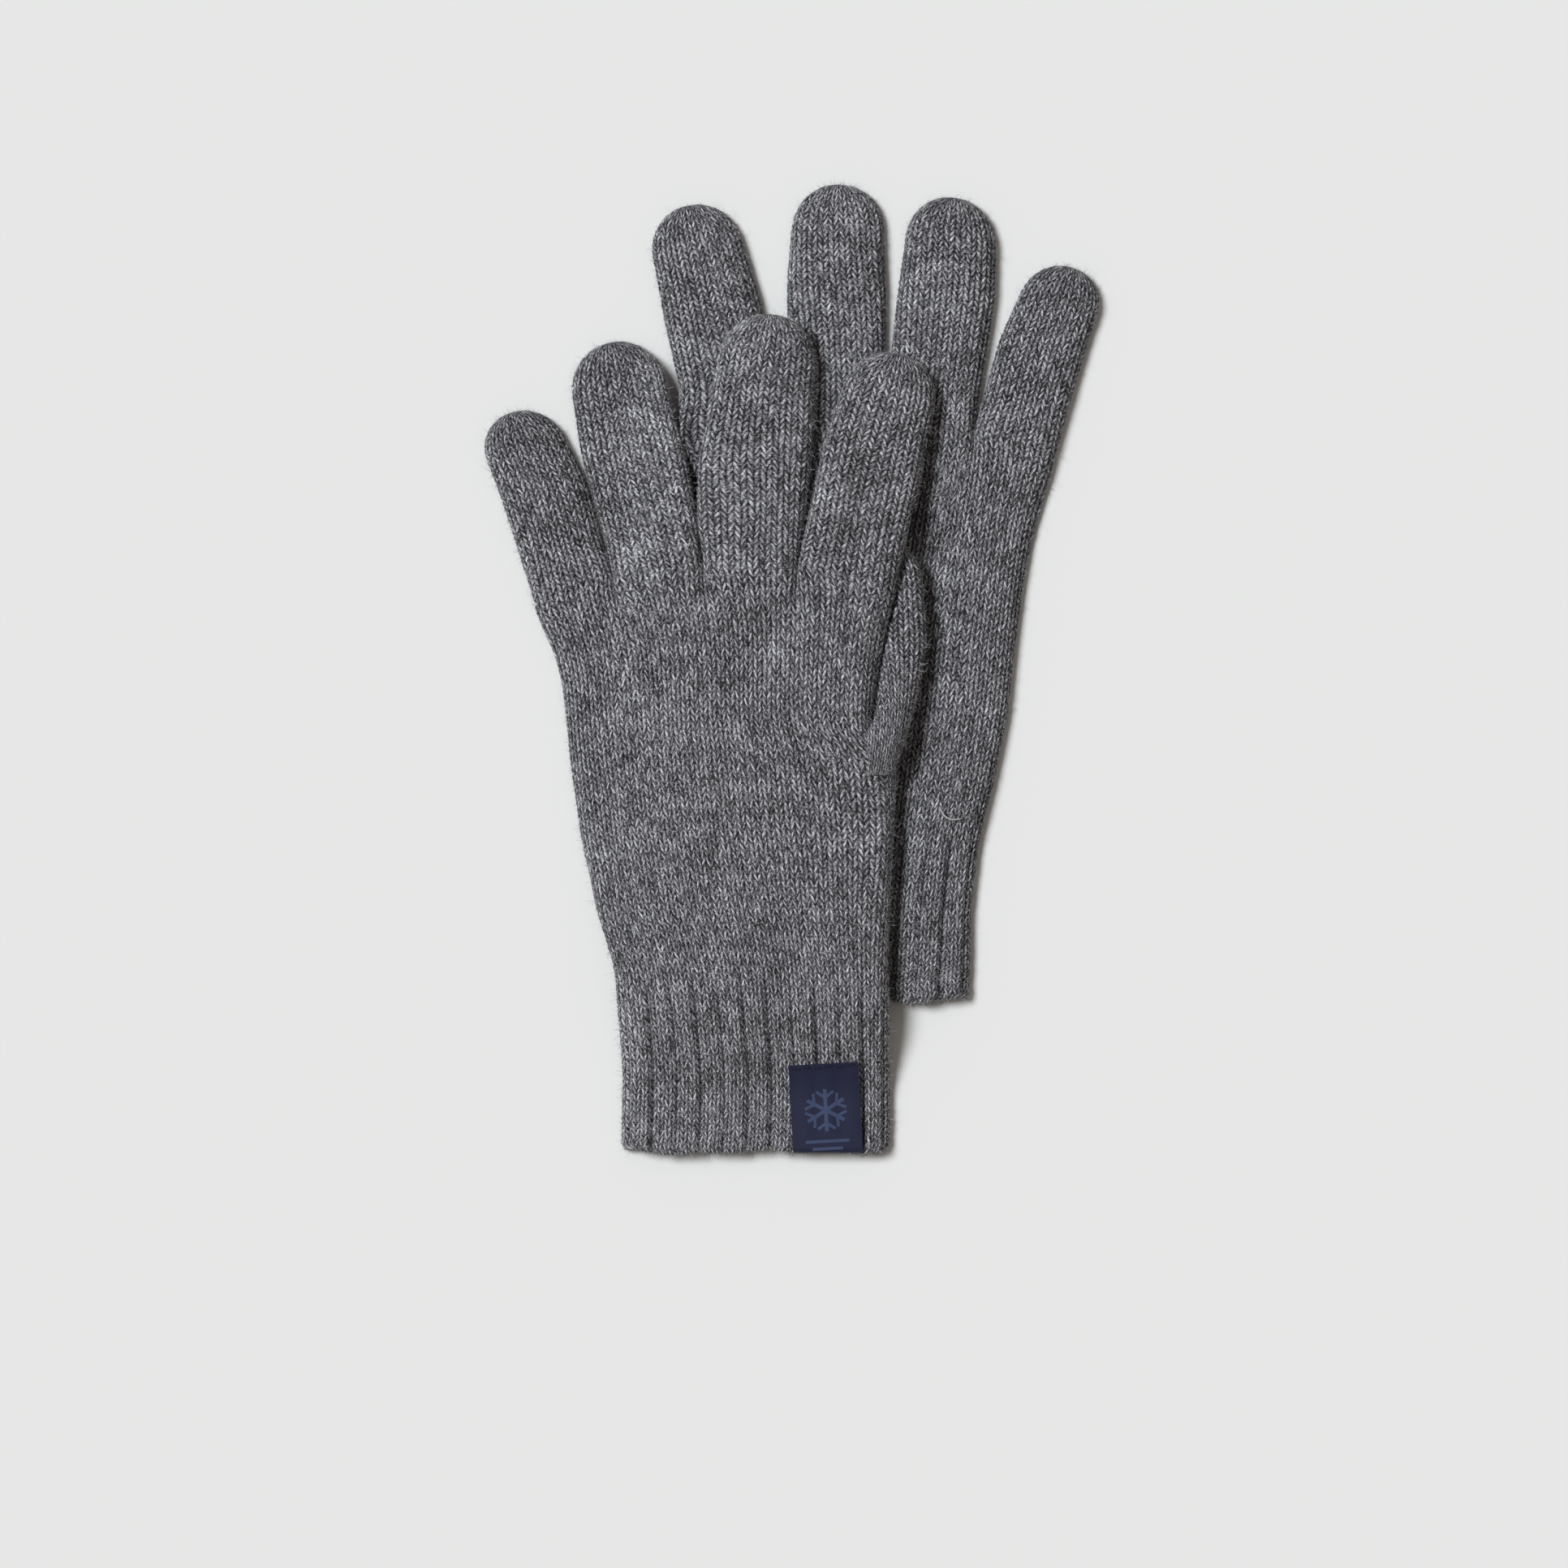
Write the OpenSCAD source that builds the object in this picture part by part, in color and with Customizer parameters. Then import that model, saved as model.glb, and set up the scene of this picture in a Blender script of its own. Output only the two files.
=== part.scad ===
// A pair of knitted gloves lying flat, back of the hand up: the left glove on the right one.
// Each glove is a ribbed cuff, a hand tube, four finger tubes and a thumb tube. The thumbs are
// tucked under their palms. A folded ribbon label is sewn over the hem of the left cuff.
// Glove shapes are drawn in one glove's own plan: the cuff's mouth is centred on the origin, the
// fingers point along +Y and the thumb is at +X. The right glove is the same plan mirrored.

/* [Fabric] */
// Thickness of the knitted fabric
fabric = 1.2; // [1:0.1:1.4]
// Overall thickness of the lying cuff and hand, both layers and the air between them
palm_t = 8; // [7.6:0.2:9]
// Overall thickness of a lying finger
finger_t = 7.4; // [7:0.1:8]
// Overall thickness of a thumb pressed flat under its palm
thumb_t = 5; // [4.6:0.2:6]
// Clearance between neighbouring pieces of one glove
gap = 0.3; // [0.2:0.05:0.5]
// Clearance between the two gloves where they lie on each other
layer_gap = 1.2; // [1.1:0.1:1.5]

/* [Glove] */
// Length of the ribbed cuff
cuff_len = 58; // [56:0.5:60]
// Length from the root of each finger to its tip: little, ring, middle, index
finger_len = [56, 68.5, 72.5, 68]; // [54:0.5:74]
// Full flat width of each finger: little, ring, middle, index
finger_w = [26, 29, 29.5, 30]; // [25:0.5:30]
// Flat width of the thumb
thumb_w = 30; // [28:0.5:31]
// Length of the thumb from its root to its tip
thumb_len = 61.5; // [59:0.5:63]

/* [Lie of the pair] */
// How far each left finger leans towards the little finger's side: little, ring, middle, index
left_lean = [16.7, 12.4, -3, -12.8]; // [-14:0.5:18]
// The same for the right glove
right_lean = [16, 7.6, 0, -12.6]; // [-13:0.5:17]
// How far each thumb bends inwards under its palm: left, right
thumb_bend = [0, 40]; // [0:1:42]
// Place of the left glove's mouth in the pair's frame
left_at = [-12.48, -144.38]; // [-146:0.02:-10]
// Place of the right glove's mouth in the pair's frame
right_at = [13.02, -101.68]; // [-104:0.02:15]

/* [Label] */
// Width of the label's ribbon
label_w = 20.4; // [18:0.2:21]
// Height of the label's front flap above the hem
label_h = 26.6; // [24:0.2:28]
// Height of the label's flap inside the cuff
label_back_h = 20; // [16:1:24]
// Thickness of the ribbon
ribbon_t = 0.5; // [0.4:0.1:0.6]
// Width across the printed snowflake
print_w = 12.5; // [10:0.5:14]

/* [Hidden] */

wool = [0.40, 0.40, 0.42];
wool_rib = [0.38, 0.38, 0.40];
navy = [0.16, 0.18, 0.28];
print_blue = [0.25, 0.30, 0.44];
thread = [0.06, 0.06, 0.10];

// Outline of one glove: [height above the mouth, x] along each edge.
little_edge = [[0, -39.5], [4, -40], [43, -41], [58, -41.5], [72, -46.3], [91, -50.9],
               [110, -53.8], [134, -56.3], [149, -58.8], [158, -62], [164.4, -64.8]];
thumb_edge = [[0, 39.5], [4, 40.2], [43, 40.5], [58, 39.8], [72, 40.3], [91, 42.5], [110, 44.5],
              [118, 45.5], [122, 36.3], [134, 36], [149, 37], [158, 39], [168, 42.7]];
// Heights of the hand's rings, measured along the thumb's edge.
hand_rings = [58, 72, 86, 97, 106, 113, 118, 122, 128, 135, 143, 151, 160, 168];
hand_flats = 11;   // points along each flat of a hand's or cuff's ring
finger_flats = 4;
finger_bands = 8;   // bands along the straight part of a finger
cuff_rings = [0, 2.5, 14, 27, 30, 33, 36, 39, 42, 48, 57.7];
// The roots of the fingers: the outer corners and the three crotches between them.
roots = [[-64.8, 164.4], [-41, 172.8], [-14.4, 175.2], [13.7, 175.2], [42.7, 168]];

// Plan of the thumb: [distance from its root, inner edge, outer edge], the edges measured from
// its centre line. It widens where it has passed under the palm.
thumb_root = [41.9, 122.6];
thumb_plan = [[0, -4.7, 4.7], [5.4, -5, 5.9], [12.4, -5.3, 7.5], [22.4, -16.9, 9.5],
              [31.4, -19.6, 10.4]];
thumb_shift = -4.6;     // from the centre line to the middle of the full-width part
thumb_bend_len = 35;    // length over which a tucked thumb bends
lift_margin = 3;        // the palm is fully held up this far beyond the thumb's edge
swing_room = 16;        // and beyond the tip on the side to which the thumb swings out
lift_fall = 16;         // and comes down again over this distance
thumb_spine = [20, 33, 46.5]; // distances along the thumb between which the palm is held up
thumb_clear = 1.5 * gap; // between a thumb and its palm

// The left glove lies on the right one and comes down to the table beyond its edges. These are
// places in the right glove's plan: where the fall begins, and over what distance it goes on.
cover_x = 38;
cover_fall = 40;
cover_y = -14;
cover_rise = 12;
thumb_cover_x = 50;
thumb_cover_fall = 35;

turn_len = 20;       // length over which a finger turns from its root to its lean
widening_len = 32;   // length over which it reaches its full width
rounding = [0, 30, 50, 66, 78]; // angles round a fingertip
tip_thinning = 0.45; // share of its thickness that a fingertip loses
thumb_tip_thinning = 0.27;

label_x = 21.5;    // centre of the label
label_turn = 1.8;  // degrees that the label sits askew
label_gap = 0.15;  // between the ribbon and the fabric
print_t = 0.25;
print_y = 12.6;    // centre of the snowflake above the hem
stitch_count = 6;
stitch_len = 2.3;
stitch_edge = 0.5; // between the row's ends and the ribbon's edges
stitch_t = 0.5;
stitch_y = 25.2;
fold_gap = 0.35;   // between the fold and the hem, whose edge isn't quite straight under the label
flake_bar = 1.1;   // width of the snowflake's bars
flake_branch = 3.2;
branch_place = 0.30; // of the snowflake's width, from its centre
branch_turn = 55;
branch_share = 0.8;  // of a bar's width
print_lines = [[3.4, 13], [1.2, 9]]; // bars below the snowflake: [height above the hem, length]
print_line_w = 0.9;

function smooth(t) = let (c = max(0, min(1, t))) c * c * (3 - 2 * c);
function mix(a, b, t) = a + (b - a) * t;

// ---- how high the fabric lies ----

// A thumb's centre line is an arc and then a straight: position and heading at a distance s.
function thumb_lean(side) = side == "left" ? thumb_bend[0] : thumb_bend[1];
function thumb_heading(side, s) = thumb_lean(side) * min(1, s / thumb_bend_len);
function thumb_point(side, s, shift) =
    let (lean = thumb_lean(side),
         turn = thumb_heading(side, s),
         radius = lean == 0 ? 0 : thumb_bend_len * 180 / (PI * lean),
         on_arc = lean == 0 ? [0, min(s, thumb_bend_len)] : radius * [cos(turn) - 1, sin(turn)],
         past = max(0, s - thumb_bend_len))
    thumb_root + on_arc + past * [-sin(lean), cos(lean)] + shift * [cos(turn), sin(turn)];

function from_segment(p, a, b) =
    let (t = max(0, min(1, (p - a) * (b - a) / ((b - a) * (b - a))))) norm(p - mix(a, b, t));

// A palm rises over its own thumb, which lies under it, and over the way out of its tip.
function thumb_lift(side, p) =
    let (spine = [for (s = thumb_spine) thumb_point(side, s, thumb_shift)],
         swung = thumb_point(side, thumb_spine[2], thumb_shift + swing_room),
         away = min(from_segment(p, spine[0], spine[1]), from_segment(p, spine[1], spine[2]),
                    from_segment(p, spine[2], swung)))
    (thumb_t + thumb_clear) * (1 - smooth((away - thumb_w / 2 - lift_margin) / lift_fall));

// Height at which the left glove lies on the right one, at a point of the pair's frame.
function cover(q) =
    let (p = [right_at.x - q.x, q.y - right_at.y])
    (palm_t + layer_gap) * (1 - smooth((p.x - cover_x) / cover_fall))
        * smooth((p.y - cover_y) / cover_rise)
    + thumb_lift("right", p) * (1 - smooth((p.x - thumb_cover_x) / thumb_cover_fall));

function place(side, p) = side == "left" ? [left_at.x + p.x, left_at.y + p.y]
                                         : [right_at.x - p.x, right_at.y + p.y];
function bed(side, p) = side == "left" ? cover(place(side, p)) : 0;
function level(side, p, over_thumb) = bed(side, p) + (over_thumb ? thumb_lift(side, p) : 0);

// ---- rings of points round a flattened tube ----

// A flat oval, w wide and h thick, with points along its flats so that it can follow the drape.
function oval(w, h, flats) =
    let (r = h / 2, f = w / 2 - r)
    concat([for (a = [-90:45:90]) [f + r * cos(a), r * sin(a)]],
           [for (i = [1:flats]) [f - 2 * f * i / (flats + 1), r]],
           [for (a = [90:45:270]) [-f + r * cos(a), r * sin(a)]],
           [for (i = [1:flats]) [-f + 2 * f * i / (flats + 1), -r]]);

function lay(side, p, z, over_thumb) =
    let (q = place(side, p)) [q.x, q.y, level(side, p, over_thumb) + z];

// One ring: centre, angle of its width to +X, width, thickness and how far inside it is drawn.
function ring(side, centre, turn, w, h, inset, over_thumb, flats) =
    [for (o = oval(w - 2 * inset, h - 2 * inset, flats))
        lay(side, centre + o.x * [cos(turn), sin(turn)], h / 2 + o.y, over_thumb)];

// The hand's rings bow from straight at the wrist to the line of the finger roots at the top.
function root_line(x) = lookup(x, roots);
function hand_ring(side, y, inset) =
    let (v = (y - cuff_len) / (roots[4].y - cuff_len),
         xl = lookup(mix(cuff_len, roots[0].y, v), little_edge),
         xr = lookup(y, thumb_edge),
         w = xr - xl)
    [for (o = oval(w - 2 * inset, palm_t - 2 * inset, hand_flats))
        let (x = (xl + xr) / 2 + o.x,
             top = root_line(mix(roots[0].x, roots[4].x, (x - xl) / w)))
        lay(side, [x, mix(cuff_len, top, v)], palm_t / 2 + o.y, true)];

function cuff_ring(side, y, inset) =
    let (xl = lookup(y, little_edge), xr = lookup(y, thumb_edge))
    ring(side, [(xl + xr) / 2, y], 0, xr - xl, palm_t, inset, true, hand_flats);

// ---- solids made from rings ----

function band(n, a, b, flip) =
    [for (j = [0:n - 1])
        let (k = (j + 1) % n)
        each flip ? [[a + j, b + k, a + k], [a + j, b + j, b + k]]
                  : [[a + j, a + k, b + k], [a + j, b + k, b + j]]];
// A fan over a closed end, from the point at the ring's side so that no triangle is flat.
function cap(n, a, flip) =
    [for (j = [3:n])
        flip ? [a + 2, a + (j + 1) % n, a + j % n] : [a + 2, a + j % n, a + (j + 1) % n]];

// A shell between outer and inner rings, open at its first ring, and at its last if open_end.
module shell(outer, inner, open_end, flip) {
    n = len(outer[0]);
    m = len(outer);
    points = concat([for (r = outer) each r], [for (r = inner) each r]);
    inside = n * m;
    last = n * (m - 1);
    sides = [for (i = [0:m - 2]) each concat(
        band(n, n * i, n * (i + 1), flip),
        band(n, inside + n * i, inside + n * (i + 1), !flip))];
    near_rim = band(n, inside, 0, flip);
    far_end = open_end ? band(n, last, inside + last, flip)
                       : concat(cap(n, last, flip), cap(n, inside + last, !flip));
    polyhedron(points = points, faces = concat(sides, near_rim, far_end));
}

// ---- the pieces ----

module hand(side) {
    color(wool)
        shell([for (y = hand_rings) hand_ring(side, y, 0)],
              [for (y = hand_rings) hand_ring(side, y, fabric)],
              true, side == "right");
}

module cuff(side) {
    color(wool_rib)
        shell([for (y = cuff_rings) cuff_ring(side, y, 0)],
              [for (y = cuff_rings) cuff_ring(side, y, fabric)],
              true, side == "right");
}

// A finger's ring, t along it: it leaves the root square to the root line and turns to its lean.
function finger_ring(side, i, t, w, h, inset) =
    let (a = roots[i], b = roots[i + 1],
         root = (a + b) / 2,
         root_turn = atan2(b.y - a.y, b.x - a.x),
         lean = side == "left" ? left_lean[i] : right_lean[i],
         centre = root + t * [-sin(lean), cos(lean)])
    ring(side, centre, mix(root_turn, lean, smooth(t / turn_len)), w, h, inset, true,
         finger_flats);

function finger_rings(side, i, inset) =
    let (a = roots[i], b = roots[i + 1],
         root_w = norm(b - a) - 2 * gap,
         r = finger_w[i] / 2,
         straight = finger_len[i] - r)
    concat(
        [for (k = [0:finger_bands - 1])
            let (t = mix(gap, straight, k / finger_bands))
            finger_ring(side, i, t, mix(root_w, finger_w[i], smooth((t - gap) / widening_len)),
                        finger_t, inset)],
        [for (a = rounding)
            finger_ring(side, i, straight + (r - inset) * sin(a),
                        2 * (r - inset) * cos(a) + 2 * inset,
                        finger_t * (1 - tip_thinning * (1 - cos(a))), inset)]);

module finger(side, i) {
    color(wool)
        shell(finger_rings(side, i, 0), finger_rings(side, i, fabric), false, side == "right");
}

function thumb_ring(side, s, shift, w, h, inset) =
    ring(side, thumb_point(side, s, shift), thumb_heading(side, s), w, h, inset, false,
         finger_flats);

function thumb_rings(side, inset) =
    let (r = thumb_w / 2)
    concat(
        [for (s = thumb_plan)
            thumb_ring(side, s[0], (s[1] + s[2]) / 2, s[2] - s[1], thumb_t, inset)],
        [for (a = rounding)
            thumb_ring(side, thumb_len - r + (r - inset) * sin(a), thumb_shift,
                       2 * (r - inset) * cos(a) + 2 * inset,
                       thumb_t * (1 - thumb_tip_thinning * (1 - cos(a))), inset)]);

module thumb(side) {
    color(wool)
        shell(thumb_rings(side, 0), thumb_rings(side, fabric), false, side == "right");
}

// The label is drawn with its hem line on the X axis and its front on the fabric's surface.
module on_label() {
    translate([left_at.x + label_x, left_at.y, palm_t])
        rotate([0, 0, label_turn])
            children();
}

// One strip of ribbon folded over the hem: a front flap, the fold and a flap inside the cuff.
module label_ribbon() {
    front = label_gap;
    back = -fabric - label_gap;
    fold = -label_gap - fold_gap;
    side_profile = [
        [label_h, front], [label_h, front + ribbon_t], [fold, front + ribbon_t],
        [fold - ribbon_t, front], [fold - ribbon_t, back], [fold, back - ribbon_t],
        [label_back_h, back - ribbon_t], [label_back_h, back], [fold, back], [fold, front]];
    color(navy)
        on_label()
            translate([-label_w / 2, 0, 0])
                rotate([90, 0, 90])
                    linear_extrude(label_w)
                        polygon(side_profile);
}

// A snowflake of three crossed bars with short branches, over two plain bars.
module label_print() {
    color(print_blue)
        on_label()
            translate([0, 0, label_gap + ribbon_t]) {
                translate([0, print_y, 0])
                    linear_extrude(print_t) {
                        for (a = [30, 90, 150])
                            rotate(a)
                                square([print_w, flake_bar], center = true);
                        for (a = [30:60:330])
                            rotate(a)
                                translate([print_w * branch_place, 0])
                                    for (b = [-1, 1])
                                        rotate(b * branch_turn)
                                            translate([flake_branch / 2, 0])
                                                square([flake_branch, flake_bar * branch_share],
                                                       center = true);
                    }
                for (line = print_lines)
                    translate([-line[1] / 2, line[0], 0])
                        cube([line[1], print_line_w, print_t]);
            }
}

// A row of hand stitches along the label's top edge.
module label_stitches() {
    row = label_w - 2 * stitch_edge;
    pitch = row / stitch_count;
    color(thread)
        on_label()
            for (i = [0:stitch_count - 1])
                translate([(pitch - row - stitch_len) / 2 + pitch * i, stitch_y, label_gap + ribbon_t])
                    cube([stitch_len, stitch_t, stitch_t]);
}

module left_hand() { hand("left"); }
module left_cuff() { cuff("left"); }
module left_thumb() { thumb("left"); }
module left_little_finger() { finger("left", 0); }
module left_ring_finger() { finger("left", 1); }
module left_middle_finger() { finger("left", 2); }
module left_index_finger() { finger("left", 3); }
module right_hand() { hand("right"); }
module right_cuff() { cuff("right"); }
module right_thumb() { thumb("right"); }
module right_little_finger() { finger("right", 0); }
module right_ring_finger() { finger("right", 1); }
module right_middle_finger() { finger("right", 2); }
module right_index_finger() { finger("right", 3); }

left_hand();
left_cuff();
left_thumb();
left_little_finger();
left_ring_finger();
left_middle_finger();
left_index_finger();
right_hand();
right_cuff();
right_thumb();
right_little_finger();
right_ring_finger();
right_middle_finger();
right_index_finger();
label_ribbon();
label_print();
label_stitches();
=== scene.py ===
"""A pair of grey marled knitted gloves lying flat, the left one on the right one."""

import math

import bpy
import numpy as np
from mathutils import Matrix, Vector


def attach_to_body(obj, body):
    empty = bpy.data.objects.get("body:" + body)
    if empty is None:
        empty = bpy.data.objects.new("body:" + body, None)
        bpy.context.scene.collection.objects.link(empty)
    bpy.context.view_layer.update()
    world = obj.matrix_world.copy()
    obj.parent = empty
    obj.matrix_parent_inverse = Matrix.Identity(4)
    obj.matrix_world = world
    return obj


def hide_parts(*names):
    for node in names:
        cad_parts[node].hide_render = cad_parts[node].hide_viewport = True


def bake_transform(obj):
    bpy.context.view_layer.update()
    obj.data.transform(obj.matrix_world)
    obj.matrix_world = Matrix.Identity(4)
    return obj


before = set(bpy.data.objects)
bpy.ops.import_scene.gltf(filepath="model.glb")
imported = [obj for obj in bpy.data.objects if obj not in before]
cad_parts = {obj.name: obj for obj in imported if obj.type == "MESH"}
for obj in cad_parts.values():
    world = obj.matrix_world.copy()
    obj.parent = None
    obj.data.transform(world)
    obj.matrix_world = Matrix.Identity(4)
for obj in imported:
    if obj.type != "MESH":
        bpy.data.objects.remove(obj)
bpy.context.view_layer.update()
random = np.random.default_rng(7)
MM = 0.001

# ---- camera: straight above, fingertips up ----

VIEW_WIDTH = 0.4637        # width of the floor that the picture shows
CAMERA_HEIGHT = 2.4
LOOK_AT = (-0.0022, -0.0334)

camera_data = bpy.data.cameras.new("camera")
camera = bpy.data.objects.new("camera", camera_data)
bpy.context.collection.objects.link(camera)
camera.location = (LOOK_AT[0], LOOK_AT[1], CAMERA_HEIGHT)
camera_data.sensor_width = 36
camera_data.lens = 36 * (CAMERA_HEIGHT - 0.01) / VIEW_WIDTH
camera_data.clip_end = 20
bpy.context.scene.camera = camera

# ---- sizes in millimetres, as the CAD model has them ----

PALM_T, FINGER_T, THUMB_T = 8.0, 7.4, 5.0
GAP, LAYER_GAP = 0.3, 1.2
CUFF = 58.0
FINGERS = ["little_finger", "ring_finger", "middle_finger", "index_finger"]
FINGER_LEN = [56, 68.5, 72.5, 68]
FINGER_W = {"left": [26, 30, 31, 30], "right": [25.4, 29, 29.5, 29]}
LEAN = {"left": [16.7, 12.4, -3, -12.8], "right": [16, 7.6, 0, -12.6]}
THUMB_BEND = {"left": 0, "right": 40}
THUMB_LEN, THUMB_W, THUMB_SHIFT, THUMB_BEND_LEN = 61.5, 30, -4.6, 35
PLACE = {"left": (-12.48, -144.38), "right": (13.02, -101.68)}   # origin of each glove's plan
HEM_RISE = {"left": 1.8, "right": 3.9}      # how far the hem lies above the cuff's mouth line
# How far each fingertip is drawn towards the thumb's side, and how much longer it is.
TIP_SKEW = {"left": [-2.5, 0.3, 0.8, 0.8], "right": [-1.9, 1.3, -0.6, 0.5]}
FINGER_SHIFT = {"left": [0, 0, 1.2, 0], "right": [0, 0, 0, -1.8]}   # the same, all along it
TIP_REACH = {"left": [-0.2, 1, 2.4, 0.5], "right": [-0.3, 0.2, -1.5, 1.2]}
# How far the lower part of each finger swells to the little finger's side and to the thumb's.
SWELL = {"left": [(0, 0), (0, 0.8), (3.2, 0), (0, 0)], "right": [(0, 0)] * 4}
ROOTS = {"left": np.array([[-63.6, 164.4], [-40.4, 172.8], [-13.6, 175.2], [14.2, 175.2],
                           [42.7, 168]]),
         "right": np.array([[-64.8, 164.4], [-41, 172.8], [-14.4, 175.2], [13.7, 175.2],
                            [46.6, 169]])}
THUMB_ROOT = np.array([41.9, 122.6])

# Outline: height above the cuff's mouth against x, along each edge. The thumb's gusset is apart.
LITTLE_EDGE = {
    "left": [(0, -37.3), (6, -37.8), (26, -37.4), (45, -38.9), (55, -39.6), (64, -42.1),
             (74, -45.5), (84, -47.2), (93, -49.6), (103, -51), (112, -52.4), (122, -53.6),
             (132, -54.3), (141, -54.6), (151, -56), (160, -59.8), (164.4, -63.6)],
    "right": [(0, -39.2), (12, -39.8), (31, -40), (50, -42.2), (69, -47), (88, -51),
              (108, -53.2), (129, -56), (144, -58.2), (157, -61.4), (164.4, -64.8)]}
PALM_EDGE = [(0, 40.7), (6, 41.6), (43, 41.2), (58, 41), (72, 40.1), (91, 38.5), (110, 36.8),
             (122, 35.8), (126, 35.6), (134, 36), (149, 37.8), (158, 39.4), (168, 42.7)]
GUSSET = [(58, 0), (66, 0.6), (78, 2), (91, 4), (104, 5.8), (114, 7), (118, 7.2),
          (121, 4.6), (124.5, 0.8), (127, 0)]
# The left glove's edge over the right one: cuff, gusset, thumb and index finger.
OVER_EDGE = [(0, 41), (58, 41), (80, 41.2), (104, 43), (114, 43.7), (122, 45.7), (134, 49.1),
             (153, 52.6), (170, 52.4), (184, 47.6), (197, 49.7), (217, 54.2), (230, 56.5)]

# Near that edge the right glove loses this share of its height, over this distance.
PRESS, PRESS_REACH = 0.45, 11.0
# Middle of the gap between the left glove's ring and middle fingers, where the fabric below
# swells up by this height.
GAP_LINE = np.array([[-33.5, 74.0], [-27.5, 42.0]])
GAP_SWELL = 4.2

# ---- knitting: stitches round each tube, quads in each stitch ----

PALM_WALES = 72
FACE_WALES = PALM_WALES // 2
FINGER_FACE = FACE_WALES // 4     # wales that run on from the palm into each finger's back
COLS = 6
ROWS = 4
HAND_COURSES = 55                 # courses from the cuff to the fingers
COURSE = 2.0                      # height of a course in the cuff, and about that in the hand
FINGER_COURSE = 1.8
RELIEF = 0.55                     # how far the stitches stand out
SLANT = 1.25                      # courses that a stitch's leg rises over
RIB = 3                           # wales in one rib: two knit and one purl
FURROWS = np.array([0.45, 0.9, 0.6, 1.1, 0.5, 0.8, 1.0])   # depths of the furrows, in turn
CUFF_PAINTED_LIGHT = {"left": 0.09, "right": 0}      # painted light: how much lighter each cuff's yarn is drawn, to make up for the shade on the left cuff's slope away from the light
# Start, pull and end of a loose end of yarn: right glove's plan, and height.
LOOSE_END = np.array([[-30.7, 61.8, 8.7], [-32.4, 56.4, 10.2], [-37.4, 58.2, 8.3]])
LOW_EDGE = 0.35                   # height of a lying tube's edges, as a share of half its height
FUZZ_SHARE = 0.12                 # share of the quads that a loose fibre stands out of
TUFT_FIBRES = 40                  # loose fibres in the tuft between two fingers


def smooth(t):
    c = np.clip(t, 0, 1)
    return c * c * (3 - 2 * c)


def mix(a, b, t):
    return a + (b - a) * t


def curve(points, softness=3.0):
    """A smooth function through a list of (position, value) pairs."""
    at, value = np.array(points, float).T
    fine = np.arange(at[0], at[-1] + 0.25, 0.5)
    slope_in = (value[1] - value[0]) / (at[1] - at[0])
    slope_out = (value[-1] - value[-2]) / (at[-1] - at[-2])
    reach = int(4 * softness / 0.5)
    before = value[0] - slope_in * 0.5 * np.arange(reach, 0, -1)
    after = value[-1] + slope_out * 0.5 * np.arange(1, reach + 1)
    line = np.concatenate([before, np.interp(fine, at, value), after])
    steps = np.arange(-reach, reach + 1) * 0.5
    weight = np.exp(-0.5 * (steps / softness) ** 2)
    line = np.convolve(line, weight / weight.sum(), "valid")
    return lambda x: np.interp(x, fine, line[:len(fine)])


little_edge = {side: curve(points) for side, points in LITTLE_EDGE.items()}
palm_edge = curve(PALM_EDGE)
gusset = curve(GUSSET, 1.5)
over_edge = curve(OVER_EDGE, 4.0)
root_line = {side: curve([tuple(p) for p in line], 4.0) for side, line in ROOTS.items()}

# ---- how high the fabric lies, as in the CAD model ----


def place(side, x, y):
    """Plan of one glove to the pair's frame. The right glove is mirrored."""
    px, py = PLACE[side]
    return (px + x if side == "left" else px - x), py + y


def unplace_right(x, y):
    return np.stack([PLACE["right"][0] - x, y - PLACE["right"][1]], -1)


def thumb_heading(side, s):
    return np.radians(THUMB_BEND[side]) * np.minimum(1, s / THUMB_BEND_LEN)


def thumb_point(side, s, shift):
    """Centre line of a thumb: an arc, then straight. Returns x, y, shifted across it."""
    lean = math.radians(THUMB_BEND[side])
    turn = thumb_heading(side, s)
    past = np.maximum(0, s - THUMB_BEND_LEN)
    if lean == 0:
        x, y = 0 * s, np.minimum(s, THUMB_BEND_LEN)
    else:
        radius = THUMB_BEND_LEN / lean
        x, y = radius * (np.cos(turn) - 1), radius * np.sin(turn)
    x = THUMB_ROOT[0] + x - past * math.sin(lean) + shift * np.cos(turn)
    y = THUMB_ROOT[1] + y + past * math.cos(lean) + shift * np.sin(turn)
    return x, y


def from_segment(p, a, b):
    """Distance of points p from the line between a and b."""
    d = b - a
    t = np.clip(((p - a) @ d) / (d @ d), 0, 1)
    return np.linalg.norm(p - (a + t[..., None] * d), axis=-1)


def thumb_lift(side, p):
    """How far the tucked thumb raises the palm that lies on it."""
    spine = [np.array(thumb_point(side, np.float64(s), THUMB_SHIFT)) for s in (20, 33, 46.5)]
    spine.append(np.array(thumb_point(side, np.float64(46.5), THUMB_SHIFT + 16)))
    away = np.min([from_segment(p, a, b) for a, b in zip(spine, spine[1:])], axis=0)
    return (THUMB_T + 1.5 * GAP) * (1 - smooth((away - THUMB_W / 2 - 3) / 16))


def cover(x, y):
    """Height at which the left glove lies on the right one."""
    p = unplace_right(x, y)
    beside = mix(40, 24, smooth((p[..., 1] - 130) / 25))
    across = 1 - smooth((p[..., 0] - 38) / beside)
    along = smooth((p[..., 1] + 26) / 30)
    over_thumb = thumb_lift("right", p) * (1 - smooth((p[..., 0] - 50) / 35))
    return (PALM_T + LAYER_GAP) * across * along + over_thumb


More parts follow.
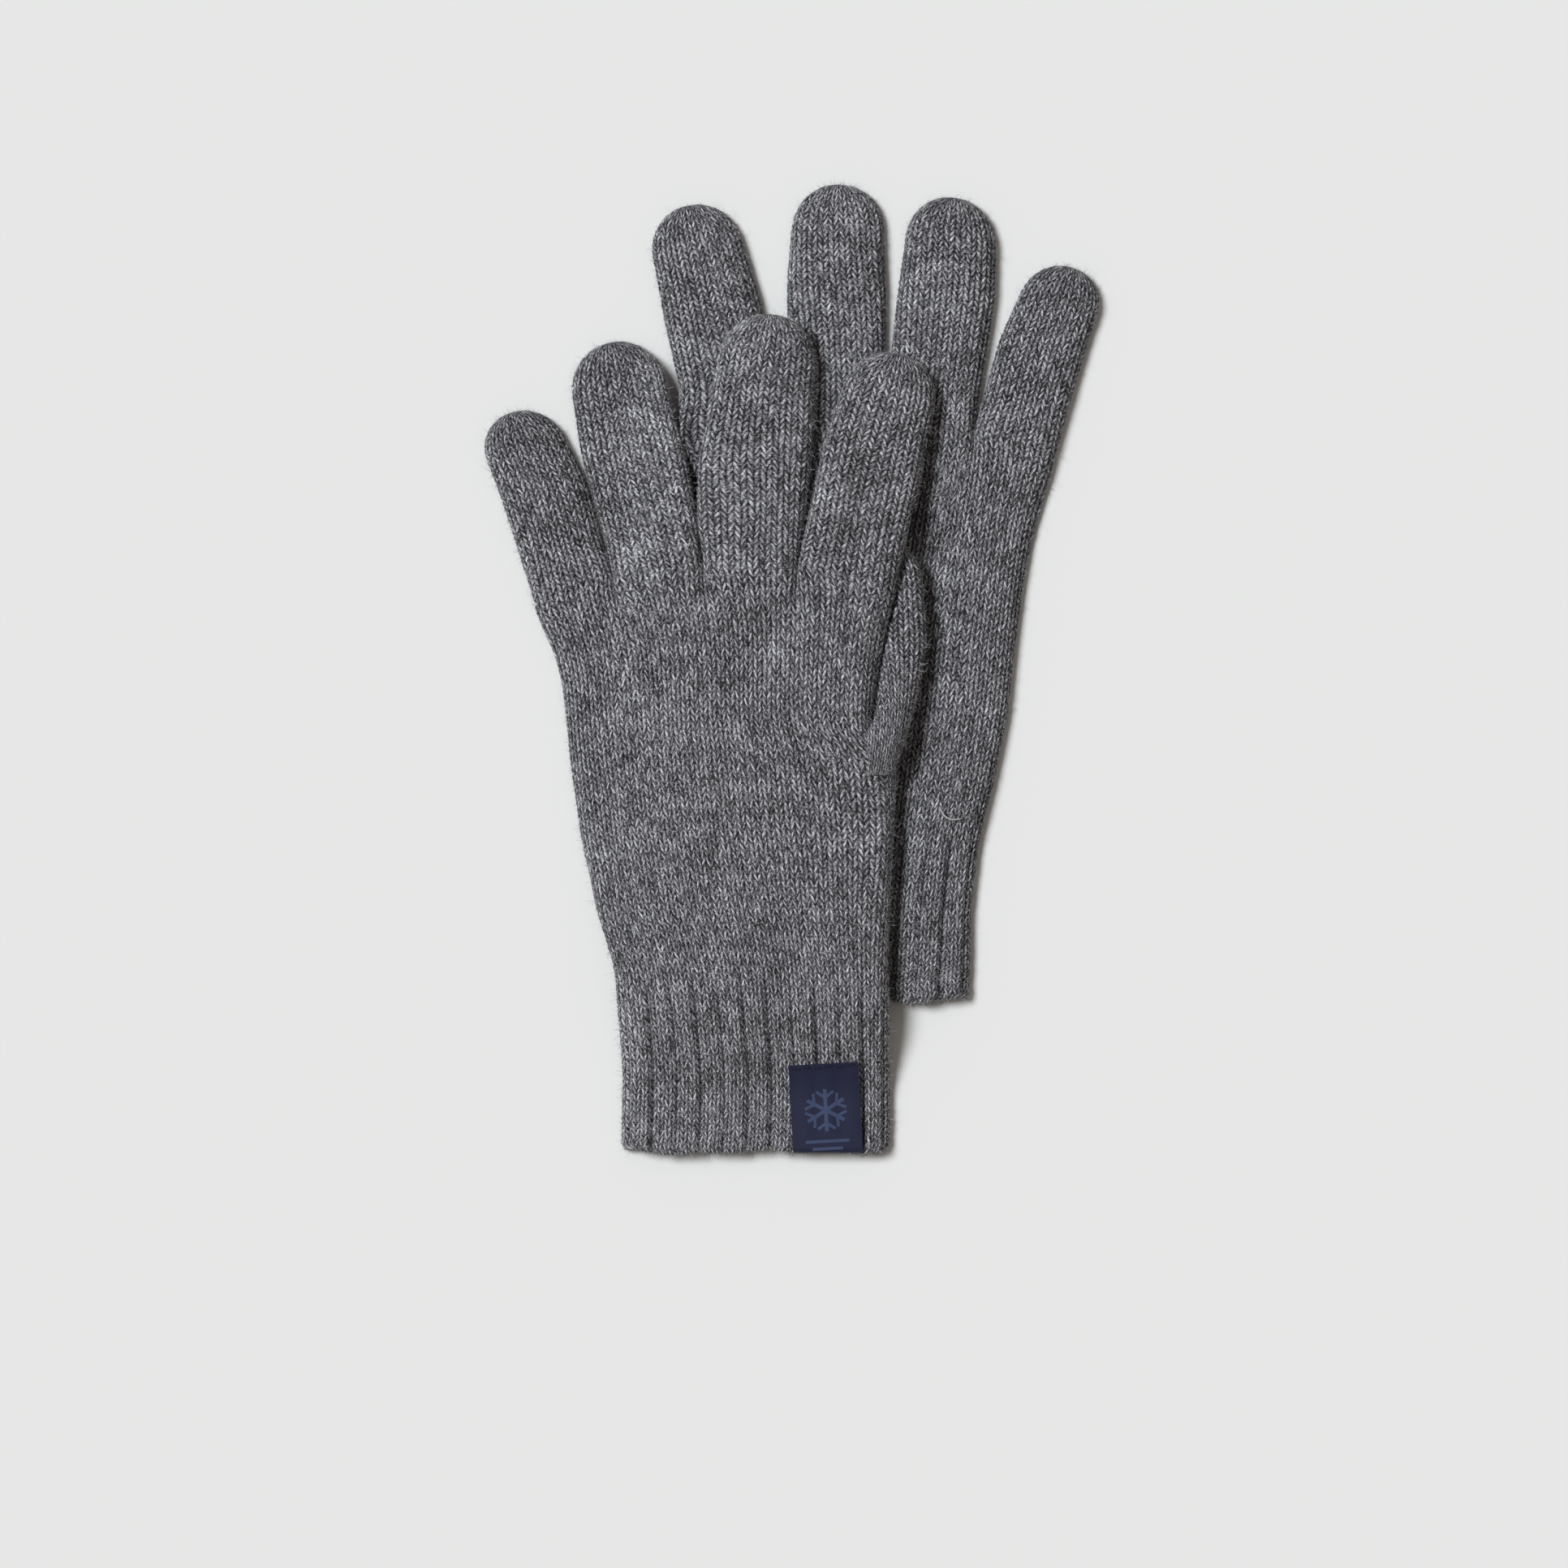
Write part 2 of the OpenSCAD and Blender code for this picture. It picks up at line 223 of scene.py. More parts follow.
def level(side, x, y, over_thumb):
    """Height of what a glove's fabric lies on, at a point of its plan."""
    px, py = place(side, x, y)
    height = cover(px, py) if side == "left" else 0 * px
    if over_thumb:
        height = height + thumb_lift(side, np.stack([x, y], -1))
    return height


def pressed(side, x, y, z):
    """Height of the lower glove's fabric above where it lies. Beside the upper glove's edge it
    is pressed flatter, and between that glove's ring and middle fingers it swells up."""
    if side == "left":
        return z
    px, py = place(side, x, y)
    p = np.stack([px, py], -1)
    upper_x, upper_y = px - PLACE["left"][0], py - PLACE["left"][1]
    beside = np.clip(upper_y - 20, 0, 1) * (1 - smooth((upper_y - 205) / 25))
    away = np.abs(upper_x - over_edge(upper_y))
    flatter = PRESS * (1 - smooth(away / PRESS_REACH)) * beside
    gap = from_segment(p, *GAP_LINE)
    swell = GAP_SWELL * np.exp(-(gap / 3.2) ** 2) * smooth((z - 2) / 3)
    return z * (1 - flatter) + swell


# ---- cross-sections ----


def half_section(h, width, thick, pillow):
    """Upper half of a flattened tube, h from 0 at the thumb's side to 1, by length along it.
    pillow makes the section thinner towards its edges. Returns x and height above the middle."""
    r = thick / 2
    flat = width / 2 - r
    quarter = math.pi * r / 2
    a = h * (2 * quarter + 2 * flat)
    near = np.clip(a / r, 0, math.pi / 2)
    far = np.clip((a - quarter - 2 * flat) / r, 0, math.pi / 2)
    x = flat + r * np.cos(near) - np.clip(a - quarter, 0, 2 * flat) - r * np.sin(far)
    z = r * np.sin(near) * np.cos(far)
    edge = np.abs(x) / (width / 2 + 1e-9)
    soft = r * np.sqrt(np.maximum(0, 1 - edge ** 3))
    return x, mix(z, soft, pillow)


def knit_relief(wale, course):
    """Height of plain knitting: each stitch is a V of two slanting legs."""
    s = np.abs(2 * (wale % 1) - 1)
    leg = np.sin(math.pi * np.clip(s, 0, 1)) ** 0.8
    along = 0.5 - 0.5 * np.cos(2 * math.pi * (course - SLANT * s))
    return leg * (0.4 + 0.6 * along) - 0.5


def drift(side, grid):
    """Wales by which the columns of the upper layer wander: they lean towards the thumb."""
    x, y = grid["x"], grid["y"]
    lean = 1.2 * smooth((y - 30) / 70) * (1 - smooth((y - 92) / 66)) * smooth((x + 30) / 74)
    sway = 0.5 * np.sin(y / 21 + (0.6 if side == "left" else 2.4)) * np.cos(x / 37)
    inner = smooth((42 - np.abs(x)) / 10)
    return grid["top"] * (lean * smooth((46 - x) / 6) + sway * inner)


def rumple(side, x, y):
    """Slight unevenness of the upper layer, downwards only."""
    k = 0 if side == "left" else 2.1
    waves = (np.sin(x / 9.3 + y / 17 + k) + np.sin(x / 15.1 - y / 11.7 + 1.3 + k)
             + np.sin(y / 7.9 + 0.4 * np.sin(x / 12) + k))
    return -0.16 * (waves + 3) / 2


# ---- grids: rows of points round each tube, in one glove's plan ----


def root_section(side, tau, thick):
    """The hand's last ring: four finger tubes side by side, 9 wales each. tau runs from the
    thumb's side to the little finger's side. Returns x, y, height, and the flat x and y."""
    k = np.clip((tau * 4).astype(int), 0, 3)
    h = tau * 4 - k
    a = ROOTS[side][4 - k]
    b = ROOTS[side][3 - k]
    middle = (a + b) / 2
    width = np.linalg.norm(a - b, axis=-1)
    x, z = half_section(h, width, thick, 0.6)
    unit = (a - b) / width[..., None]
    flat = mix(a, b, h[..., None])
    point = middle + unit * x[..., None]
    return point[..., 0], point[..., 1], z, flat[..., 0], flat[..., 1]


def hand_grid(side):
    """From the cuff, whose outline is a plain tube, to the four finger roots."""
    v = np.linspace(0, 1, HAND_COURSES * ROWS + 1)[:, None]
    tau = np.linspace(0, 1, FACE_WALES * COLS + 1)[None, :]
    first, last = ROOTS[side][0], ROOTS[side][4]
    left = mix(little_edge[side](mix(CUFF, first[1], v)), first[0], v ** 8)
    right = mix(palm_edge(mix(CUFF, last[1], v)), last[0], v ** 8)
    width = right - left
    x, z = half_section(tau, width, PALM_T, 0.35)
    root_x, root_y, root_z, flat_x, flat_y = root_section(side, tau, FINGER_T)
    spread = smooth(v) ** 2
    across = mix(0.5 - x / width, (last[0] - flat_x) / (last[0] - first[0]), spread)
    top = mix(root_line[side](mix(last[0], first[0], across)), flat_y, spread)
    crease = np.clip((v - 0.84) / 0.16, 0, 1) ** 2.2
    plan_x = right - width * across + gusset(mix(CUFF, 168, v)) * (1 - across) ** 5
    plan_x = plan_x + crease * (root_x - flat_x)
    plan_y = mix(CUFF, top, v) + crease * (root_y - flat_y)
    height = mix(z, root_z, crease)
    thick = mix(PALM_T, FINGER_T, crease)
    wale = tau * FACE_WALES + 0 * v
    course = (CUFF / COURSE + v * HAND_COURSES) + 0 * tau
    return close_ring(plan_x, plan_y, height, thick, wale, course)


def close_ring(x, y, height, thick, wale, course, lift=0.0):
    """Joins an upper half to a flatter lower half, so that the edges lie low."""
    def loop(a, b):
        return np.concatenate([a, b[:, -2:0:-1]], axis=1)
    drop = thick / 2 - height
    faces = wale.max() - wale.min()
    return {"x": loop(x, x), "y": loop(y, y),
            "z": loop(lift + thick - (2 - LOW_EDGE) * drop, lift + LOW_EDGE * drop),
            "wale": loop(wale, 2 * faces - wale), "course": loop(course, course),
            "top": loop(1 + 0 * x, 0 * x), "wales": 2 * faces}


def cuff_rows():
    """Height and inset of each row of a cuff: up the inside, round the hem, up the outside."""
    depth, fabric, hem = 40.0, 1.7, 1.3
    inside = np.linspace(depth, hem, 20)
    turn = np.linspace(0, math.pi, 9)[1:-1]
    outside = np.arange(0, int(CUFF / COURSE) * ROWS + 1) / ROWS * COURSE
    outside = outside[outside >= hem]
    y = np.concatenate([inside, hem * (1 - np.sin(turn)), outside])
    inset = np.concatenate([0 * inside + fabric, fabric / 2 * (1 + np.cos(turn)), 0 * outside])
    return y, inset


def cuff_grid(side):
    """A double-walled tube with an uneven hem. The ribs are raised on it later."""
    y, inset = (a[:, None] for a in cuff_rows())
    tau = np.linspace(0, 1, FACE_WALES * COLS + 1)[None, :]
    left, right = little_edge[side](y), palm_edge(y)
    roll = 0.35 * np.exp(-((y - 2.2) / 1.6) ** 2) * (inset < 0.1)
    width = right - left - 2 * inset + 2 * roll
    thick = PALM_T - 2 * inset + 2 * roll
    x, z = half_section(tau, width, thick, 0.35)
    x = (left + right) / 2 + x
    uneven = 0.5 * np.sin(x / 8.0 + 1) + 0.35 * np.sin(x / 3.1) + HEM_RISE[side]
    plan_y = y + uneven * (1 - smooth(y / 20)) + 0.6 * (x / 40) ** 2 * (1 - smooth(y / 20))
    grid = close_ring(x, plan_y, z, thick, tau * FACE_WALES + 0 * y, y / COURSE + 0 * tau,
                      inset - roll)
    grid["inset"] = inset + 0 * grid["x"]
    return grid


def finger_section(e, width, thick, pillow):
    """Upper half of a finger's ring, whose 9 palm wales have half a wale more on each side,
    e of it open so far. Returns x, height and the wale number of each column."""
    half = COLS // 2
    side = np.linspace(-0.5, 0, half + 1)[:-1]
    wale = np.concatenate([side, np.linspace(0, FINGER_FACE, FINGER_FACE * COLS + 1),
                           FINGER_FACE - side[::-1]])[None, :]
    stretch = np.clip(wale, 0, FINGER_FACE) + (wale - np.clip(wale, 0, FINGER_FACE)) * 2 * e
    h = (stretch + e) / (FINGER_FACE + 2 * e)
    x, z = half_section(h, width, thick, pillow)
    return x, z, wale + 0 * width


def tip_shape(t, length, width, thick, thinning):
    """Width and thickness at distance t of a tube with a round end."""
    r = width / 2
    bend = np.clip((t - (length - r)) / r, 0, 0.9995)
    cap = np.sqrt(1 - bend ** 2.1)
    taper = 1 - 0.07 * smooth((t - length + 2.4 * r) / (1.6 * r))
    thin = thick * (1 - thinning * (1 - cap))
    return np.maximum(width * taper * cap, 0.6), np.maximum(thin, 0.5)


def finger_grid(side, i):
    """A tube that runs straight on from its share of the hand's last ring, with a round tip."""
    a, b = ROOTS[side][i], ROOTS[side][i + 1]
    middle = (a + b) / 2
    lean = math.radians(LEAN[side][i])
    root_turn = math.atan2(b[1] - a[1], b[0] - a[0])
    length = FINGER_LEN[i] + TIP_REACH[side][i]
    rows = int(length / FINGER_COURSE) * ROWS
    t = np.linspace(0, length, rows + 1)[:, None]
    settle = 18 if b[0] > 44 else 46
    width = mix(np.linalg.norm(b - a), FINGER_W[side][i], smooth(t / settle))
    width, thick = tip_shape(t, length, width, FINGER_T, 0.5)
    x, z, wale = finger_section(0.5 * smooth(t / 14), width, np.minimum(thick, width * 0.9), 0.6)
    turn = mix(root_turn, lean, smooth(t / 20))
    low = smooth(t / 14) * (1 - smooth((t - 26) / 22))
    outward = SWELL[side][i][1] * np.clip(2 * x / width, 0, 1)
    outward = outward + SWELL[side][i][0] * np.clip(2 * x / width, -1, 0)
    x = x + low * outward + FINGER_SHIFT[side][i] * smooth(t / 18)
    x = x + TIP_SKEW[side][i] * smooth((t - length + 30) / 30)
    plan_x = middle[0] - t * math.sin(lean) + x * np.cos(turn)
    plan_y = middle[1] + t * math.cos(lean) + x * np.sin(turn)
    first = FACE_WALES - FINGER_FACE * (i + 1)
    grid = close_ring(plan_x, plan_y, z, thick, wale + 0.5, t / FINGER_COURSE + 0 * x)
    grid["wale"] = grid["wale"] + first - 0.5
    grid["course"] = grid["course"] + CUFF / COURSE + HAND_COURSES
    return grid


def thumb_grid(side):
    """A tube along the thumb's centre line, from just inside the palm's edge to its tip."""
    start = -9.0
    rows = int((THUMB_LEN - start) / FINGER_COURSE) * ROWS
    s = np.linspace(start, THUMB_LEN, rows + 1)[:, None]
    inner = curve([(-9, -9), (0, -9), (6, -9), (12, -10), (22, -15), (31, -19.6), (62, -19.6)])
    outer = curve([(-9, 0.6), (-4, 2.2), (0, 3.8), (6, 5.6), (12, 7.2), (20, 9), (31, 10.7),
                   (62, 10.2)])
    left, right = inner(s), outer(s)
    root_t = mix(PALM_T - 1, THUMB_T, smooth((s - 1) / 13))
    width, thick = tip_shape(s, THUMB_LEN, right - left, root_t, 0.35)
    x, z, wale = finger_section(0.5 + 0 * s, width, np.minimum(thick, width * 0.9), 0.6)
    shift = (left + right) / 2 + x
    plan_x, plan_y = thumb_point(side, np.maximum(s, 0) + 0 * x, shift)
    plan_y = plan_y + np.minimum(s, 0)
    grid = close_ring(plan_x, plan_y, z, thick, wale + 0.5, s / FINGER_COURSE + 0 * x)
    # near its root the thumb lies level with the palm, then sinks under it
    grid["joined"] = (1 - smooth(s / 9)) + 0 * grid["x"]
    if side == "left":
        beside = np.where(grid["y"] < 168, palm_edge(grid["y"]), 42.7 + 0.23 * (grid["y"] - 168))
        plump = smooth((grid["x"] - beside - 1.0) / 2.8) * (1 - grid["joined"])
        grid["z"] = grid["z"] * (1 + 0.7 * plump * grid["top"])
    return grid


# ---- fabric ----

PIECES = []


def lay_down(side, grid, over_thumb):
    """Points of a grid in the pair's frame, in millimetres."""
    height = level(side, grid["x"], grid["y"], over_thumb)
    if "joined" in grid:
        palm = level(side, grid["x"], grid["y"], True) + 0.5
        height = mix(height, palm, grid["joined"])
    px, py = place(side, grid["x"], grid["y"])
    dent = rumple(side, grid["x"], grid["y"]) * grid["top"] * smooth(grid["z"] / 4 - 0.6)
    rise = pressed(side, grid["x"], grid["y"], grid["z"])
    return np.stack([px, py, height + rise + dent], -1)


def grid_normals(points, side):
    """Outward normals of a grid, and the distance between the columns beside each point."""
    around = np.roll(points, -1, 1) - np.roll(points, 1, 1)
    along = np.gradient(points, axis=0)
    normal = np.cross(along, around) * (1 if side == "left" else -1)
    size = np.linalg.norm(normal, axis=-1, keepdims=True)
    return normal / np.maximum(size, 1e-9), np.linalg.norm(around, axis=-1)


def knit(name, side, grid, over_thumb=True, ribbed=False, closed_end=False):
    """Lays a grid down, raises the stitches on it and keeps it as a piece."""
    points = lay_down(side, grid, over_thumb)
    normal, spacing = grid_normals(points, side)
    wale, course = grid["wale"] + drift(side, grid), grid["course"]
    relief = knit_relief(wale, course)
    shift = painted_light = 0 * relief
    if ribbed:
        # the purl wale between two knit ones is drawn in, so that only a furrow shows
        across = (wale / RIB) % 1
        depth = FURROWS[(wale // RIB).astype(int) % len(FURROWS)]
        furrow = depth * np.exp(-((across - 0.5) / 0.10) ** 2)
        fade = 1 - smooth((grid["y"] - 42) / 20)
        shift = (0.1 - 1.1 * furrow) * fade * (1 - 0.5 * smooth((grid["inset"] - 0.2) / 1.0))
        # the furrows sink in the geometry and in the relief attribute, which the wool material
        # paints darker as shade
        relief = relief - 0.45 * furrow * fade
        # painted light: the left cuff's yarn is drawn lighter, fading out above its ribs, against
        # the shade on its slope
        painted_light = CUFF_PAINTED_LIGHT[side] * fade
    fine = np.clip(spacing * COLS / 2 / 2.6, 0, 1)
    uneven = 1 + 0.25 * random.standard_normal((1, points.shape[1]))
    lump = random.standard_normal(points.shape[:2])
    lump = (lump + np.roll(lump, 1, 0) + np.roll(lump, 1, 1) + np.roll(lump, -1, 0)) / 4
    offset = RELIEF * relief * fine * np.clip(uneven, 0.6, 1.4) + 0.09 * lump * fine + shift
    points = points + normal * offset[..., None]
    points[..., 2] = np.maximum(points[..., 2], 0.02)
    rows, cols = points.shape[:2]
    index = np.arange(rows * cols).reshape(rows, cols)
    a, b = index[:-1], np.roll(index, -1, 1)[:-1]
    c, d = np.roll(index, -1, 1)[1:], index[1:]
    quads = np.stack([a, d, c, b] if side == "left" else [a, b, c, d], -1).reshape(-1, 4)
    u = np.concatenate([wale, wale[:, :1] + grid["wales"]], 1)
    v = np.concatenate([course, course[:, :1]], 1)
    uv = np.stack([u, v], -1)
    corners = [uv[:-1, :-1], uv[1:, :-1], uv[1:, 1:], uv[:-1, 1:]]
    if side == "right":
        corners = [corners[0], corners[3], corners[2], corners[1]]
    uv = np.stack(corners, 2).reshape(-1, 4, 2)
    # the relief attribute is the stitch height, which the wool material paints as shade in the
    # hollows, plus the cuff's painted light
    piece = {"name": name, "side": side, "points": points.reshape(-1, 3), "quads": quads,
             "uv": uv, "relief": (np.clip(relief + 0.5, 0, 1) + painted_light).reshape(-1),
             "normal": normal.reshape(-1, 3)}
    if closed_end:
        piece["rim"] = index[-1]
    PIECES.append(piece)
    return piece


def shared_normals(pieces):
    """Vertex normals over all the pieces together, so that no seam shows between them."""
    points = np.concatenate([p["points"] for p in pieces])
    start = np.cumsum([0] + [len(p["points"]) for p in pieces])
    quads = np.concatenate([p["quads"] + s for p, s in zip(pieces, start)])
    key = np.round(points * 1000).astype(np.int64)
    _, same = np.unique(key, axis=0, return_inverse=True)
    same = same.reshape(-1)
    diagonal = np.cross(points[quads[:, 2]] - points[quads[:, 0]],
                        points[quads[:, 3]] - points[quads[:, 1]])
    total = np.zeros((same.max() + 1, 3))
    for k in range(4):
        np.add.at(total, same[quads[:, k]], diagonal)
    normal = total[same]
    normal /= np.maximum(np.linalg.norm(normal, axis=1, keepdims=True), 1e-12)
    return [normal[a:b] for a, b in zip(start, start[1:])]


def make_object(name, points, faces, material):
    """A mesh object from points in millimetres."""
    mesh = bpy.data.meshes.new(name)
    mesh.from_pydata([tuple(p) for p in np.asarray(points) * MM], [], [tuple(f) for f in faces])
    mesh.validate()
    mesh.materials.append(material)
    obj = bpy.data.objects.new(name, mesh)
    bpy.context.collection.objects.link(obj)
    return obj


def build_piece(piece, normal, material):
    """A mesh object from a knitted piece, with its stitch coordinates and its relief."""
    mesh = bpy.data.meshes.new(piece["name"])
    points, quads = piece["points"], piece["quads"]
    extra = 0
    tris = np.zeros((0, 3), int)
    if "rim" in piece:
        rim = piece["rim"]
        points = np.vstack([points, points[rim].mean(0)])
        normal = np.vstack([normal, normal[rim].mean(0)])
        tip = np.full(len(rim), len(points) - 1)
        tris = np.stack([rim, np.roll(rim, -1), tip] if piece["side"] == "right"
                        else [np.roll(rim, -1), rim, tip], -1)
        extra = 1
    mesh.vertices.add(len(points))
    mesh.vertices.foreach_set("co", (points * MM).astype(np.float32).ravel())
    loops = np.concatenate([quads.ravel(), tris.ravel()])
    mesh.loops.add(len(loops))
    mesh.loops.foreach_set("vertex_index", loops.astype(np.int32))
    starts = np.concatenate([np.arange(len(quads)) * 4, len(quads) * 4 + np.arange(len(tris)) * 3])
    mesh.polygons.add(len(starts))
    mesh.polygons.foreach_set("loop_start", starts.astype(np.int32))
    layer = mesh.uv_layers.new(name="stitches")
    uv = np.concatenate([piece["uv"].reshape(-1, 2),
                         np.repeat(piece["uv"][-1:, 0], len(tris) * 3, 0)])
    layer.data.foreach_set("uv", uv.astype(np.float32).ravel())
    mesh.update(calc_edges=True)
    mesh.polygons.foreach_set("use_smooth", np.ones(len(starts), bool))
    relief = mesh.attributes.new("relief", "FLOAT", "POINT")
    height = np.concatenate([piece["relief"], [0.5] * extra])
    relief.data.foreach_set("value", height.astype(np.float32))
    mesh.materials.append(material)
    mesh.normals_split_custom_set_from_vertices([tuple(n) for n in normal])
    obj = bpy.data.objects.new(piece["name"], mesh)
    bpy.context.collection.objects.link(obj)
    return obj


def hairs(roots, directions, lengths, width, curl, stations=3):
    """Thin curved ribbons. Returns their points and faces."""
    n = len(roots)
    side = np.cross(directions, random.standard_normal((n, 3)))
    side *= width[:, None] / 2 / np.maximum(np.linalg.norm(side, axis=1, keepdims=True), 1e-6)
    bend = curl * random.standard_normal((n, 3))
    points = []
    for k in range(stations):
        s = k / (stations - 1)
        middle = roots + (directions * s + bend * s * s) * lengths[:, None]
        points += [middle - side * (1 - 0.6 * s), middle + side * (1 - 0.6 * s)]
    points = np.stack(points, 1)
    step = np.arange(stations - 1) * 2
    ladder = np.stack([step, step + 1, step + 3, step + 2], 1)
    faces = (np.arange(n) * 2 * stations)[:, None, None] + ladder[None]
    return points.reshape(-1, 3), faces.reshape(-1, 4)


def loose_end():
    """A stray end of yarn that lies in a bend on the right glove, just above its cuff."""
    t = np.linspace(0, 1, 17)[:, None]
    start, pull, end = LOOSE_END
    middle = (1 - t) ** 2 * start + 2 * t * (1 - t) * pull + t ** 2 * end
    px, py = place("right", middle[:, 0], middle[:, 1])
    middle = np.stack([px, py, middle[:, 2]], -1)
    across = np.cross(np.gradient(middle, axis=0), [0, 0, 1.0])
    across /= np.linalg.norm(across, axis=1, keepdims=True)
    turn = np.linspace(0, 2 * math.pi, 6, endpoint=False)[None, :, None]
    ring = across[:, None] * np.cos(turn) + np.array([0, 0, 1.0]) * np.sin(turn)
    radius = 0.2 * np.sqrt(np.maximum(0.01, 1 - (2 * t - 1) ** 8))
    points = middle[:, None] + ring * radius[..., None]
    k = np.arange(points.shape[0] * 6).reshape(-1, 6)
    ahead = np.roll(k, -1, 1)
    faces = np.stack([k[:-1], ahead[:-1], ahead[1:], k[1:]], -1)
    return points.reshape(-1, 3), faces.reshape(-1, 4)


def make_fuzz(piece, normal):
    """Loose fibres that stand out of the yarn, thicker in tufts at the roots of the fingers."""
    points, quads = piece["points"], piece["quads"]
    at, up = points[quads].mean(1), normal[quads[:, 0]]
    seen = up[:, 2] > -0.4
    dense = 1 + 2.5 * (up[:, 2] < 0.55)
    if piece["name"].endswith("cuff_knit"):
        low = at[:, 1] - PLACE[piece["side"]][1] < HEM_RISE[piece["side"]] + 2.5
        dense = dense + 4 * low
    if piece["name"] == "left_cuff_knit":
        # none under the label, inside an oval about its middle
        label = np.hypot(at[:, 0] - 9.7, (at[:, 1] + 130) * 0.72) < 12.5
        seen = seen & ~label
    chosen = np.flatnonzero(seen & (random.random(len(seen)) < FUZZ_SHARE * dense))
    if piece["name"].endswith("hand_knit"):
        for x, y in ROOTS[piece["side"]][1:4]:
            px, py = place(piece["side"], x, y - 1)
            near = np.hypot(at[:, 0] - px, at[:, 1] - py) < 1.8
            tuft = np.flatnonzero(near & (up[:, 2] > 0.2))
            more = random.choice(tuft, min(TUFT_FIBRES, len(tuft)), replace=False)
            chosen = np.concatenate([chosen, more])
    n = len(chosen)
    direction = up[chosen] * (0.25 + 0.6 * random.random((n, 1)))
    direction = direction + 0.6 * random.standard_normal((n, 3))
    direction /= np.linalg.norm(direction, axis=1, keepdims=True)
    direction = direction + up[chosen] * 0.25
    length = 0.5 + 1.3 * random.random(n) ** 2.2
    width = 0.06 + 0.09 * random.random(n)
    points, faces = hairs(at[chosen] - 0.1 * up[chosen], direction, length, width, 0.45)
    points[:, 2] = np.maximum(points[:, 2], 0.03)
    ends = np.zeros((0, 4), int)
    if piece["name"] == "right_hand_knit":
        more, ends = loose_end()
        ends = ends + len(points)
        points = np.concatenate([points, more])
    faces = np.concatenate([faces, ends])
    obj = make_object(piece["name"][:-5] + "_fuzz", points, faces, FUZZ)
    if len(ends):
        obj.data.materials.append(PALE_YARN)
        for face in obj.data.polygons[-len(ends):]:
            face.material_index = 1
    return obj


# ---- materials ----


def node_maker(material):
    """An emptied node tree, a function that adds a node to it, and one that adds a Math node."""
    tree = material.node_tree
    tree.nodes.clear()

    def add(kind, **inputs):
        node = tree.nodes.new("ShaderNode" + kind)
        for key, value in inputs.items():
            key = int(key[1:]) if key[0] == "i" and key[1:].isdigit() else key.replace("_", " ")
            if isinstance(value, bpy.types.NodeSocket):
                tree.links.new(value, node.inputs[key])
            else:
                node.inputs[key].default_value = value
        return node

    def math_node(operation, a, b=0.0, c=0.0):
        node = add("Math", i0=a, i1=b, i2=c)
        node.operation = operation
        return node.outputs[0]

    return tree, add, math_node


def surface(add, tree, color, normal=None, sheen=0.0, roughness=0.95):
    shader = add("BsdfPrincipled", Base_Color=color, Roughness=roughness, Sheen_Weight=sheen,
                 Sheen_Roughness=0.5)
    shader.inputs["Specular IOR Level"].default_value = 0.15
    if normal is not None:
        tree.links.new(normal, shader.inputs["Normal"])
    add("OutputMaterial", Surface=shader.outputs[0])


